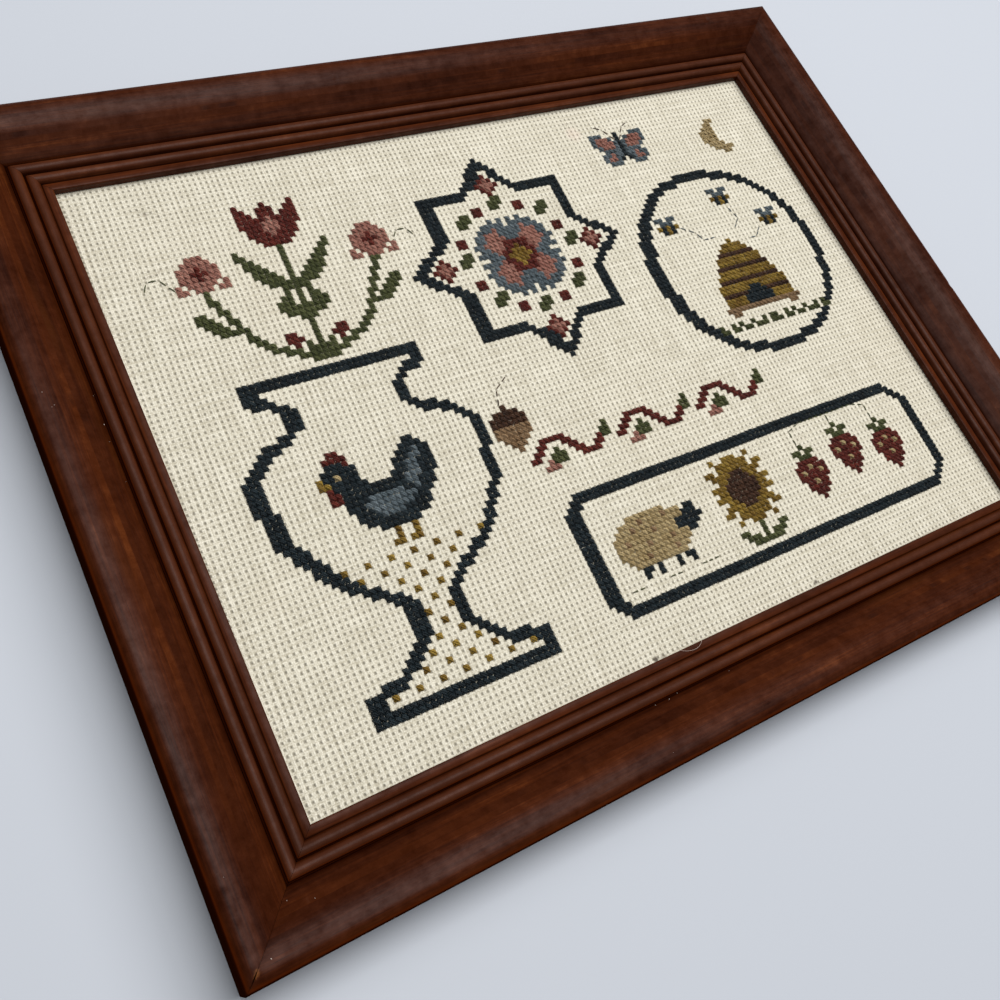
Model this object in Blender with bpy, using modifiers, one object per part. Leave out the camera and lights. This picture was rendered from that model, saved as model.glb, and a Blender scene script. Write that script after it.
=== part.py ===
"""A framed cross stitch sampler, lying on its back with the picture facing up.

Four mitred rails of stained moulding hold a taut rectangle of evenweave cloth. The cloth is
stretched over a mounting board, and its margin is turned under the board's edges. The origin
is on the surface that the frame lies on, below the middle of the picture. X runs along the
long rails, Y from the lower rail to the upper one, and Z up through the face of the picture.
"""
import math

import bmesh
import bpy
from mathutils import Matrix, Vector

# Driving dimensions, in metres
OPENING_X = 0.2667         # cloth showing between the side rails, 10.5 inches
OPENING_Y = 0.1947         # cloth showing between the lower and upper rails
RAIL_WIDTH = 0.0280        # from the sight edge to the outer side
RAIL_HEIGHT = 0.0170       # from the back of the frame to its crest
REBATE_WIDTH = 0.0064      # how far the lip reaches over the cloth
CLOTH_TOP = 0.0066         # height of the cloth's face
CLOTH_THICKNESS = 0.0010
CLOTH_TURN = 0.0015        # radius of the turn over the board's edges
CLOTH_MARGIN = 0.0180      # width of cloth turned under the board
BOARD_THICKNESS = 0.0025
GAP = 0.0003               # clearance between neighbouring pieces
EDGE_GAP = 0.0004          # clearance between the cloth and the rebate's wall

# Section of the moulding: distances out from the sight edge, heights from the frame's back
LIP_FACE = 0.0091          # height of the narrow flat beside the cloth
LIP_ROUND = 0.0004         # softened sight edge
FLAT_WIDTH = 0.0023
FIRST_BEAD = {"middle": 0.0046, "top": 0.0104, "width": 0.0032}
SECOND_BEAD = {"middle": 0.0084, "top": 0.0109, "width": 0.0033}
BEAD_SPREAD = 72           # degrees that a bead turns to each side of its top
FIRST_QUIRK = (0.0027, 0.0087)    # narrow grooves beside and between the beads
SECOND_QUIRK = (0.00645, 0.0085)
THIRD_QUIRK = (0.0104, 0.0088)
COVE_START = (0.0108, 0.0097)
COVE_FOOT_TURN = 34        # slope of the cove beside the second bead, in degrees
SWELL_TURN = 40            # slope where the cove meets the swell, the steepest of the face
SWELL_REACH = 0.0082       # from the crest in to where the swell meets the cove
CREST = 0.0247             # where the moulding is highest
SIDE_ROUND = 0.0033        # rounded outer shoulder
BACK_CHAMFER = 0.0005      # eased edges along the back

LIP_UNDERSIDE = CLOTH_TOP + GAP
CLOTH_BACK = CLOTH_TOP - 2 * CLOTH_THICKNESS - 2 * GAP - BOARD_THICKNESS


def arc(centre, radius, start, end, steps):
    """Points along a circle from one angle to another, in degrees."""
    angles = [math.radians(start + (end - start) * i / steps) for i in range(steps + 1)]
    return [(centre[0] + radius * math.cos(a), centre[1] + radius * math.sin(a)) for a in angles]


def bead(middle, top, width):
    """The round of one bead, from its inner side over the top to its outer side."""
    radius = width / 2 / math.sin(math.radians(BEAD_SPREAD))
    return arc((middle, top - radius), radius, 90 + BEAD_SPREAD, 90 - BEAD_SPREAD, 14)


def ogee():
    """The broad face: a cove beside the beads that rises into a swell up to the crest."""
    turn = math.radians(SWELL_TURN)
    foot = math.radians(COVE_FOOT_TURN)
    swell_radius = SWELL_REACH / math.sin(turn)
    swell_centre = (CREST, RAIL_HEIGHT - swell_radius)
    join = (CREST - SWELL_REACH, swell_centre[1] + swell_radius * math.cos(turn))
    cove_radius = (join[0] - COVE_START[0]) / (math.sin(turn) - math.sin(foot))
    cove_centre = (join[0] - cove_radius * math.sin(turn), join[1] + cove_radius * math.cos(turn))
    cove = arc(cove_centre, cove_radius, COVE_FOOT_TURN - 90, SWELL_TURN - 90, 14)
    swell = arc(swell_centre, swell_radius, 90 + SWELL_TURN, 90, 14)
    return cove + swell[1:]


def moulding_section():
    """Outline of the moulding, going round from the sight edge over the face to the back."""
    lip = arc((LIP_ROUND, LIP_FACE - LIP_ROUND), LIP_ROUND, 180, 90, 4) + [(FLAT_WIDTH, LIP_FACE)]
    first = [FIRST_QUIRK] + bead(**FIRST_BEAD)
    second = [SECOND_QUIRK] + bead(**SECOND_BEAD)
    shoulder = arc((CREST, RAIL_HEIGHT - SIDE_ROUND), SIDE_ROUND, 90, 0, 10)
    back = [
        (RAIL_WIDTH, BACK_CHAMFER),
        (RAIL_WIDTH - BACK_CHAMFER, 0),
        (REBATE_WIDTH + BACK_CHAMFER, 0),
        (REBATE_WIDTH, BACK_CHAMFER),
        (REBATE_WIDTH, LIP_UNDERSIDE),
        (0, LIP_UNDERSIDE),
    ]
    return lip + first + second + [THIRD_QUIRK] + ogee() + shoulder[1:] + back


def new_collection(name):
    collection = bpy.data.collections.new(name)
    bpy.context.scene.collection.children.link(collection)
    return collection


def new_material(name, colour, roughness):
    material = bpy.data.materials.new(name)
    material.use_nodes = True
    shader = material.node_tree.nodes["Principled BSDF"]
    shader.inputs["Base Color"].default_value = (*colour, 1)
    shader.inputs["Roughness"].default_value = roughness
    shader.inputs["Metallic"].default_value = 0
    return material


def add_object(name, data, collection, material=None):
    piece = bpy.data.objects.new(name, data)
    collection.objects.link(piece)
    if material:
        piece.data.materials.append(material)
    return piece


def add_modifier(piece, name, kind, **settings):
    modifier = piece.modifiers.new(name, kind)
    for key, value in settings.items():
        setattr(modifier, key, value)
    return modifier


def box_mesh(name, low, high):
    """A box between two corners."""
    low = Vector(low)
    high = Vector(high)
    shape = bmesh.new()
    bmesh.ops.create_cube(shape, size=1)
    bmesh.ops.scale(shape, vec=high - low, verts=shape.verts)
    bmesh.ops.translate(shape, vec=(low + high) / 2, verts=shape.verts)
    mesh = bpy.data.meshes.new(name)
    shape.to_mesh(mesh)
    shape.free()
    return mesh


def moulding_length(name, length):
    """A straight length of moulding along X, its face up and its sight edge on Y = 0."""
    curve = bpy.data.curves.new(name, "CURVE")
    curve.dimensions = "2D"
    curve.fill_mode = "BOTH"
    curve.extrude = length / 2
    section = moulding_section()
    spline = curve.splines.new("POLY")
    spline.points.add(len(section) - 1)
    for point, (out, height) in zip(spline.points, section):
        point.co = (out, height, 0, 1)
    spline.use_cyclic_u = True
    drawn = add_object(name, curve, bpy.context.scene.collection)
    graph = bpy.context.evaluated_depsgraph_get()
    mesh = bpy.data.meshes.new_from_object(drawn.evaluated_get(graph))
    mesh.name = name
    bpy.data.objects.remove(drawn)
    shape = bmesh.new()
    shape.from_mesh(mesh)
    bmesh.ops.remove_doubles(shape, verts=shape.verts, dist=0.000001)
    outward_up_along = Matrix(((0, 0, -1), (-1, 0, 0), (0, 1, 0))).to_4x4()
    bmesh.ops.transform(shape, matrix=outward_up_along, verts=shape.verts)
    bmesh.ops.recalc_face_normals(shape, faces=shape.faces)
    shape.to_mesh(mesh)
    shape.free()
    return mesh


def mitre_block(name, along, across, collection):
    """A square block on its corner, whose two upper sides are the planes of a rail's mitres."""
    tip = (along - across) / 2 - GAP / math.sqrt(2)
    reach = tip + across / 2 + 2 * RAIL_WIDTH
    side = reach * math.sqrt(2)
    corner = Vector((side / 2, side / 2, 2 * RAIL_HEIGHT))
    block = add_object(name, box_mesh(name, -corner, corner), collection)
    block.location = (0, tip - reach, 0)
    block.rotation_euler = (0, 0, math.radians(45))
    block.hide_render = True
    block.display_type = "WIRE"
    return block


def build_rail(name, turn, along, across, collection, cutters, material):
    """One rail, cut from the moulding and turned to its side of the picture."""
    place = bpy.data.objects.new(f"{name}_side", None)
    collection.objects.link(place)
    place.rotation_euler = (0, 0, math.radians(turn))
    rail = add_object(name, moulding_length(name, along + 4 * RAIL_WIDTH), collection, material)
    rail.location = (0, -across / 2, 0)
    rail.parent = place
    block = mitre_block(f"{name}_mitres", along, across, cutters)
    block.parent = place
    add_modifier(rail, "Mitres", "BOOLEAN", operation="INTERSECT", solver="EXACT", object=block)
    rail.data.shade_smooth()
    rail.data.set_sharp_from_angle(angle=math.radians(35))
    return rail


def build_cloth(collection, material):
    """The cloth: a sheet over the board's face and edges, with its margin turned under."""
    half_x = OPENING_X / 2 + REBATE_WIDTH - EDGE_GAP
    half_y = OPENING_Y / 2 + REBATE_WIDTH - EDGE_GAP
    mesh = box_mesh("cloth", (-half_x, -half_y, CLOTH_BACK), (half_x, half_y, CLOTH_TOP))
    shape = bmesh.new()
    shape.from_mesh(mesh)
    under = [face for face in shape.faces if face.normal.z < -0.5]
    rim = list(under[0].edges)
    bmesh.ops.delete(shape, geom=under, context="FACES_ONLY")
    turned = bmesh.ops.extrude_edge_only(shape, edges=rim)["geom"]
    for vert in [item for item in turned if isinstance(item, bmesh.types.BMVert)]:
        vert.co.x -= math.copysign(CLOTH_MARGIN, vert.co.x)
        vert.co.y -= math.copysign(CLOTH_MARGIN, vert.co.y)
    bmesh.ops.recalc_face_normals(shape, faces=shape.faces)
    shape.to_mesh(mesh)
    shape.free()
    cloth = add_object("cloth", mesh, collection, material)
    add_modifier(cloth, "Turned edges", "BEVEL", width=CLOTH_TURN, segments=4, limit_method="ANGLE",
                 angle_limit=math.radians(40))
    add_modifier(cloth, "Thickness", "SOLIDIFY", thickness=CLOTH_THICKNESS, offset=-1,
                 use_even_offset=True)
    return cloth


def build_board(collection, material):
    """The mounting board, inside the cloth's turned edges."""
    inset = REBATE_WIDTH - EDGE_GAP - CLOTH_THICKNESS - EDGE_GAP
    half_x = OPENING_X / 2 + inset
    half_y = OPENING_Y / 2 + inset
    low = CLOTH_BACK + CLOTH_THICKNESS + GAP
    mesh = box_mesh("board", (-half_x, -half_y, low), (half_x, half_y, low + BOARD_THICKNESS))
    board = add_object("board", mesh, collection, material)
    add_modifier(board, "Eased edges", "BEVEL", width=GAP, segments=1)
    return board


def main():
    for old in list(bpy.data.objects):
        bpy.data.objects.remove(old)
    sampler = new_collection("Framed cross stitch sampler")
    cutters = new_collection("Cutters")
    stained_wood = new_material("stained_wood", (0.075, 0.022, 0.012), 0.38)
    evenweave = new_material("evenweave", (0.70, 0.65, 0.53), 0.9)
    card = new_material("card", (0.45, 0.38, 0.28), 0.85)
    sides = (
        ("rail_lower", 0, OPENING_X, OPENING_Y),
        ("rail_right", 90, OPENING_Y, OPENING_X),
        ("rail_upper", 180, OPENING_X, OPENING_Y),
        ("rail_left", 270, OPENING_Y, OPENING_X),
    )
    for name, turn, along, across in sides:
        build_rail(name, turn, along, across, sampler, cutters, stained_wood)
    build_cloth(sampler, evenweave)
    build_board(sampler, card)


main()
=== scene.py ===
import math
import random

import bmesh
import bpy
from mathutils import Euler, Matrix, Vector, noise


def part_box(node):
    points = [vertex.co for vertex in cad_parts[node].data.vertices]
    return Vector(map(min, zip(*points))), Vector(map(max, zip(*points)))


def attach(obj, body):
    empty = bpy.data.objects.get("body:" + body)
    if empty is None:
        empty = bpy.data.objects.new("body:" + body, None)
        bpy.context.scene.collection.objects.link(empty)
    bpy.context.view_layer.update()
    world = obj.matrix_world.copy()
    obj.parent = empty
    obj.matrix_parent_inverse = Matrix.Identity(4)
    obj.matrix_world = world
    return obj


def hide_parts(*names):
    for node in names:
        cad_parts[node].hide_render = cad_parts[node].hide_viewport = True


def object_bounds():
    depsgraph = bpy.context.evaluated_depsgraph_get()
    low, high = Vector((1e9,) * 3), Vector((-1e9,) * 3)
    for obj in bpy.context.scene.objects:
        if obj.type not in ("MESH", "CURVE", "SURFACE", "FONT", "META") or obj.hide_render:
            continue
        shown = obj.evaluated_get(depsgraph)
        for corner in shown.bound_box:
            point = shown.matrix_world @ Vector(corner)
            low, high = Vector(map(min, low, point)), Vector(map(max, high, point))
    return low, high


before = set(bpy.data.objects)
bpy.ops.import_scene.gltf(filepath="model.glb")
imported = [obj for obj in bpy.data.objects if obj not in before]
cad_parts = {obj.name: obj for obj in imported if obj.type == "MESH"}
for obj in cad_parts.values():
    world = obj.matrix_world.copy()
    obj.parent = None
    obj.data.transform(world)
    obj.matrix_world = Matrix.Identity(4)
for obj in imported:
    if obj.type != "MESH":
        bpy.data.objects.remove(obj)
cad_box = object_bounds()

# A framed cross stitch sampler: four rails of stained, varnished moulding around a taut piece
# of block weave cloth that is worked in stranded cotton. Sizes are in metres.

MM = 0.001
PITCH = 0.0254 / 14                    # one block of the weave: 14 blocks to the inch
RAILS = ("rail_lower", "rail_right", "rail_upper", "rail_left")
sight_low = Vector((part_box("rail_left")[1][0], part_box("rail_lower")[1][1]))
sight_high = Vector((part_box("rail_right")[0][0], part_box("rail_upper")[0][1]))
cloth_low, cloth_high = [Vector(corner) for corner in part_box("cloth")]
COLUMNS = round((sight_high.x - sight_low.x) / PITCH)     # blocks showing across the picture
ROWS = round((sight_high.y - sight_low.y) / PITCH)        # blocks showing up the picture


# ---------------------------------------------------------------- shader sums

class Value:
    """A shader socket that takes part in sums: an expression on values adds its Math nodes."""

    def __init__(self, finish, socket):
        self.finish = finish
        self.socket = socket

    def sum_with(self, operation, first, second=None):
        return self.finish.add("ShaderNodeMath", {"operation": operation}, {0: first, 1: second})

    def __add__(self, other):
        return self.sum_with("ADD", self, other)

    def __sub__(self, other):
        return self.sum_with("SUBTRACT", self, other)

    def __rsub__(self, other):
        return self.sum_with("SUBTRACT", other, self)

    def __mul__(self, other):
        return self.sum_with("MULTIPLY", self, other)

    def __truediv__(self, other):
        return self.sum_with("DIVIDE", self, other)

    def __pow__(self, other):
        return self.sum_with("POWER", self, other)

    __radd__ = __add__
    __rmul__ = __mul__

    def fraction(self):
        return self.sum_with("FRACT", self)

    def size(self):
        return self.sum_with("ABSOLUTE", self)

    def sine(self):
        return self.sum_with("SINE", self)

    def rise(self, low, high):
        """0 below low, 1 above high, and a smooth step between; low may be above high."""
        sockets = {"Value": self, "From Min": low, "From Max": high}
        return self.finish.add("ShaderNodeMapRange", {"interpolation_type": "SMOOTHSTEP"}, sockets)


class Finish:
    """A material under construction around its Principled shader."""

    def __init__(self, name, roughness, **constants):
        self.material = bpy.data.materials.new(name)
        self.material.use_nodes = True
        self.tree = self.material.node_tree
        self.shader = self.tree.nodes["Principled BSDF"]
        self.shader.inputs["Roughness"].default_value = roughness
        for socket, amount in constants.items():
            self.shader.inputs[socket.replace("_", " ")].default_value = amount

    def plug(self, socket, source):
        """Links a value to a socket, or gives the socket a constant."""
        if isinstance(source, Value):
            self.tree.links.new(source.socket, socket)
        elif isinstance(source, (tuple, list)) and len(source) == 3 and socket.type == "RGBA":
            socket.default_value = (*source, 1)
        elif source is not None:
            socket.default_value = source

    def add(self, kind, settings=None, sockets=None, output=0):
        """Any node: its type, its settings first, then the values or links of its sockets."""
        node = self.tree.nodes.new(kind)
        for key, setting in (settings or {}).items():
            if key == "stops":
                for place, colour in setting[2:]:
                    node.color_ramp.elements.new(place)
                for stop, (place, colour) in zip(node.color_ramp.elements, sorted(setting)):
                    stop.position = place
                    stop.color = (*colour, 1)
            else:
                setattr(node, key, setting)
        for key, source in (sockets or {}).items():
            if isinstance(key, int):
                self.plug(node.inputs[key], source)
            else:
                named = [s for s in node.inputs if key in (s.identifier, s.name) and s.enabled]
                self.plug(named[0], source)
        if isinstance(output, str):
            return Value(self, [s for s in node.outputs if output in (s.identifier, s.name)][0])
        return Value(self, node.outputs[output])

    def place(self):
        """Object coordinates."""
        return self.add("ShaderNodeTexCoord", output="Object")

    def chart(self):
        """The piece's own map."""
        return self.add("ShaderNodeUVMap", {"uv_map": "map"})

    def part(self, vector, axis):
        """One number out of a vector."""
        return self.add("ShaderNodeSeparateXYZ", sockets={0: vector}, output=axis)

    def stretched(self, vector, scale, shift=(0, 0, 0)):
        """The same coordinates, scaled and then shifted."""
        sockets = {"Vector": vector, "Scale": scale, "Location": shift}
        return self.add("ShaderNodeMapping", sockets=sockets)

    def speckle(self, vector, scale, detail=2.0, rough=0.5):
        """Noise from 0 to 1."""
        sockets = {"Vector": vector, "Scale": scale, "Detail": detail, "Roughness": rough}
        return self.add("ShaderNodeTexNoise", sockets=sockets)

    def attribute(self, name):
        """A number that the mesh holds at each vertex."""
        return self.add("ShaderNodeAttribute", {"attribute_name": name}, output="Fac")

    def mix(self, amount, first, second):
        """The first colour at an amount of 0, and the second at 1."""
        sockets = {"Factor_Float": amount, "A_Color": first, "B_Color": second}
        return self.add("ShaderNodeMix", {"data_type": "RGBA"}, sockets, "Result_Color")

    def far_from(self, vector, point):
        """Distance of the surface from a point."""
        sockets = {0: vector, 1: point}
        return self.add("ShaderNodeVectorMath", {"operation": "DISTANCE"}, sockets, "Value")

    def colour(self, source):
        self.plug(self.shader.inputs["Base Color"], source)

    def roughness(self, source):
        self.plug(self.shader.inputs["Roughness"], source)

    def coat(self, source):
        self.plug(self.shader.inputs["Coat Weight"], source)

    def bump(self, height, distance, strength=1.0, under=None):
        """Relief from a height in 0 to 1 that stands the distance high."""
        sockets = {"Height": height, "Distance": distance, "Strength": strength, "Normal": under}
        relief = self.add("ShaderNodeBump", sockets=sockets)
        self.plug(self.shader.inputs["Normal"], relief)
        return relief


# ---------------------------------------------------------------- pieces

def piece_from(shape, name, finish, smooth=True):
    """Turns a bmesh into an object of the scene."""
    mesh = bpy.data.meshes.new(name)
    shape.to_mesh(mesh)
    shape.free()
    if smooth:
        mesh.shade_smooth()
    return piece_of_mesh(mesh, name, finish)


def piece_of_mesh(mesh, name, finish):
    """Puts a finished mesh in the scene."""
    piece = bpy.data.objects.new(name, mesh)
    bpy.context.scene.collection.objects.link(piece)
    mesh.materials.clear()
    mesh.materials.append(finish.material)
    return piece


def smooth_step(low, high, number):
    """0 below low, 1 above high, and a smooth step between."""
    share = min(max((number - low) / (high - low), 0), 1)
    return share * share * (3 - 2 * share)


def at_mm(spot):
    """A place given in millimetres, in metres."""
    return tuple(part * MM for part in spot)


# ---------------------------------------------------------------- moulding

# Knocks in the moulding: place on the face, radius and depth, in millimetres
DENTS = (
    {"rail": "rail_upper", "at": (127.2, 120.6, 16.2), "radius": 2.2, "depth": 0.55},
    {"rail": "rail_upper", "at": (-36.0, 117.0, 16.8), "radius": 1.6, "depth": 0.18},
    {"rail": "rail_lower", "at": (-158.2, -122.6, 15.9), "radius": 2.6, "depth": 0.35},
    {"rail": "rail_left", "at": (-158.6, -121.8, 15.9), "radius": 2.2, "depth": 0.30},
    {"rail": "rail_lower", "at": (57.0, -123.6, 16.2), "radius": 1.8, "depth": 0.22},
    {"rail": "rail_right", "at": (159.8, -18.0, 16.0), "radius": 2.0, "depth": 0.20},
    {"rail": "rail_left", "at": (-159.6, 61.0, 16.1), "radius": 1.7, "depth": 0.20},
)
RAIL_STEP = 6 * MM        # length between cuts along a rail
DENT_STEP = 0.45 * MM
QUIRK_TURN = 35           # a hollow corner sharper than this, in degrees, is painted dark
QUIRK_SOFT = 25           # and it is darkest where it is this much sharper still
LIP_HEIGHT = 8 * MM       # the face lies above this, and the rebate below
DARK_RUN = 3.4 * MM      # how far the painted dark lingers outside the last quirk
SHARP = 32                # a corner sharper than this, in degrees, isn't shaded round
MITRE_REACH = 0.155 * MM  # how far each rail grows at its mitres, to leave a hairline joint
GRAIN_SHIFT = 0.61        # how far the grain of each rail is from the last one's, in metres
FLAT_TOP = 9.4 * MM       # the flat beside the cloth lies below this, and the beads' tops above
FLAT_DUST_AND_SHEEN = 0.4          # the flat's share of the pale dust and painted sheen on the beads' tops
# From none of it to all of it: the turn of a rubbed corner, in degrees, and how far a face
# leans out or up, as parts of its slope
RUB_TURN = (14, 60)
BEAD_UP = (0.35, 0.9)
SHEEN_OUT = (0.30, 0.85)
SHEEN_UP = (0.78, 0.93)
LOW_SHEEN = 0.85          # what a face that doesn't look up keeps of its sheen
SIDE_OUT = (0.62, 0.97)
MARKS = ("quirk", "rub", "sheen", "side", "bead")
WORN_TIP = ((-157.2, -121.1, 16.9), (-158.4, -122.4, 16.5))    # ends of the near corner's wear, in mm
WORN_REACH = 2.6 * MM     # where the distances to both ends add up to this, the wear stops


def section_of(shape, along_axis):
    """The moulding's outline, read from a mitre: each corner's way round, turn and slope."""
    mitre = max(shape.faces, key=lambda face: len(face.verts))
    across_axis = 1 - along_axis
    ring = [Vector((abs(vert.co[across_axis]), vert.co.z)) for vert in mitre.verts]
    area = sum(a.x * b.y - b.x * a.y for a, b in zip(ring, ring[1:] + ring[:1]))
    if area < 0:
        ring.reverse()
    start = min(range(len(ring)), key=lambda i: ring[i].x - 0.001 * ring[i].y)
    ring = ring[start:] + ring[:start]
    ring = [ring[0]] + ring[:0:-1]
    corners = []
    way = 0
    for i, corner in enumerate(ring):
        before = corner - ring[i - 1]
        after = ring[(i + 1) % len(ring)] - corner
        turn = math.degrees(before.angle_signed(after))
        way += before.length if i else 0
        mean = before.normalized() + after.normalized()
        slope = Vector((-mean.y, mean.x)).normalized()
        corners.append({"corner": corner, "way": way, "turn": turn, "slope": slope})
    return corners


def cut_up(shape, along, start, end, dents):
    """Cuts a rail across its length, at even steps and finely where it is knocked."""
    cuts = [start + RAIL_STEP * i for i in range(1, int((end - start) / RAIL_STEP))]
    for dent in dents:
        reach = math.ceil(dent["radius"] * MM / DENT_STEP)
        cuts += [dent["at"][along] * MM + DENT_STEP * i for i in range(-reach, reach + 1)]
    normal = Vector((0, 0, 0))
    normal[along] = 1
    for cut in cuts:
        everything = list(shape.verts) + list(shape.edges) + list(shape.faces)
        bmesh.ops.bisect_plane(shape, geom=everything, plane_co=normal * cut, plane_no=normal, dist=1e-6)


def marks_of(near, height, run_off):
    """What a corner of the section holds of each mark, from 0 to 1."""
    slope = near["slope"]
    quirk = smooth_step(QUIRK_TURN, QUIRK_TURN + QUIRK_SOFT, -near["turn"])
    if 0 <= run_off <= 1:
        quirk = 1 - run_off
    # Faces that look up get pale dust and a painted sheen
    bead = smooth_step(*BEAD_UP, slope.y) if run_off < 0 else 0
    if height < FLAT_TOP:
        bead *= FLAT_DUST_AND_SHEEN
    sheen = 1 - smooth_step(*SHEEN_OUT, slope.x)
    sheen *= LOW_SHEEN + (1 - LOW_SHEEN) * smooth_step(*SHEEN_UP, slope.y)
    rub = smooth_step(*RUB_TURN, near["turn"])
    return {"quirk": quirk, "rub": rub, "sheen": sheen, "side": smooth_step(*SIDE_OUT, slope.x), "bead": bead}


def knock(shape, dents):
    """Presses the dents in, and returns the vertices that they move."""
    knocked = set()
    for vert in shape.verts:
        for dent in dents:
            radius = dent["radius"] * MM
            gap = (vert.co - Vector(dent["at"]) * MM).length
            if gap < radius:
                knocked.add(vert)
                depth = dent["depth"] * MM * (1 - smooth_step(0, radius, gap))
                vert.co -= vert.normal * depth
    return knocked


def build_rail(name, finish, number):
    """A rail: the frame's own solid, cut up along its length, mapped and knocked about a little."""
    shape = bmesh.new()
    shape.from_mesh(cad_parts[name].data)
    bmesh.ops.remove_doubles(shape, verts=shape.verts, dist=2e-6)
    bmesh.ops.dissolve_limit(shape, angle_limit=math.radians(0.3), verts=shape.verts, edges=shape.edges)
    low, high = [Vector(corner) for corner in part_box(name)]
    along = 0 if high.x - low.x > high.y - low.y else 1
    across = 1 - along
    corners = section_of(shape, along)
    dents = [dent for dent in DENTS if dent["rail"] == name]
    cut_up(shape, along, low[along], high[along], dents)
    chart = shape.loops.layers.uv.new("map")
    layers = {mark: shape.verts.layers.float.new(mark) for mark in MARKS}
    nearest = {}
    last_quirk = max(entry["way"] for entry in corners if entry["turn"] < -QUIRK_TURN
                     and entry["corner"].y > LIP_HEIGHT and entry["slope"].y > 0)
    for vert in shape.verts:
        spot = Vector((abs(vert.co[across]), vert.co.z))
        near = min(corners, key=lambda entry: (entry["corner"] - spot).length_squared)
        nearest[vert] = near
        run_off = (near["way"] - last_quirk) / DARK_RUN
        for mark, share in marks_of(near, spot.y, run_off).items():
            vert[layers[mark]] = share
    for face in shape.faces:
        for loop in face.loops:
            loop[chart].uv = (loop.vert.co[along] + GRAIN_SHIFT * number, nearest[loop.vert]["way"])
    shape.normal_update()
    mitres = [face for face in shape.faces if abs(face.normal[along]) > 0.5]
    for vert in {vert for face in mitres for vert in face.verts}:
        vert.co[along] += math.copysign(MITRE_REACH, vert.co[along])
    knocked = knock(shape, dents)
    outward = math.copysign(1, low[across] + high[across])
    slopes = []
    for face in shape.faces:
        for loop in face.loops:
            near = nearest[loop.vert]
            slope = Vector((0, 0, 0))
            if face not in mitres and loop.vert not in knocked and abs(near["turn"]) < SHARP:
                slope[across] = near["slope"].x * outward
                slope.z = near["slope"].y
            slopes.append(slope)
    rail = piece_from(shape, f"{name}_moulding", finish)
    rail.data.set_sharp_from_angle(angle=math.radians(SHARP))
    rail.data.normals_split_custom_set(slopes)
    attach(rail, "root")
    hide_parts(name)
    return rail


# Pale flecks of dust caught on the varnish, in millimetres
DUST = (
    (-156.7, 29.7), (-155.7, 24.9), (-155.0, 25.4), (-144.1, 28.9), (-144.3, 19.7), (-144.6, 14.4),
    (-144.5, 2.0), (-139.6, -113.1), (-145.4, -110.8), (-153.7, -120.4), (-157.0, -100.1),
    (-33.4, -108.1), (-28.7, -108.3), (-25.0, -107.7), (-39.4, -121.2), (-6.6, -108.6),
)


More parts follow.
